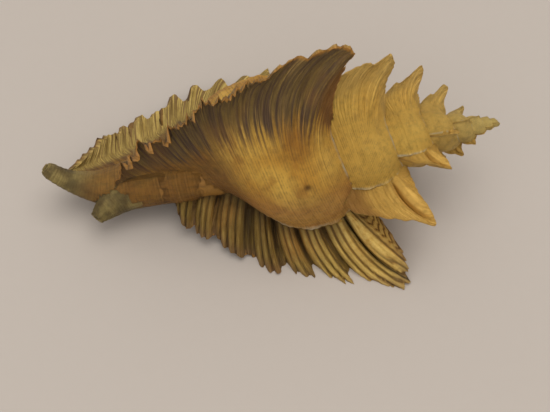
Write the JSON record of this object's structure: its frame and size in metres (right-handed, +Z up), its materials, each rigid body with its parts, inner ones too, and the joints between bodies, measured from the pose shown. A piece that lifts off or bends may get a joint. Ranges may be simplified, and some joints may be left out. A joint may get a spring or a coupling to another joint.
{
  "type": "murex shell",
  "caption": "Coiled sea-snail shell with three fluted wings on each whorl, a high spire, a drawn-out tubular canal and an oval mouth.",
  "frame": {"origin": "centre of the bounding box in X and Y, on the plane the shell rests on", "axes": "+Z up as the shell lies mouth down on its wings, +X along the coiling axis from the canal towards the apex"},
  "size_m": [0.0588, 0.0376, 0.0308],
  "materials": {
    "shell": "matt limy shell, banded tan, ochre and purple-brown"
  },
  "bodies": {
    "root": {"shell": "shell"}
  },
  "joints": []
}
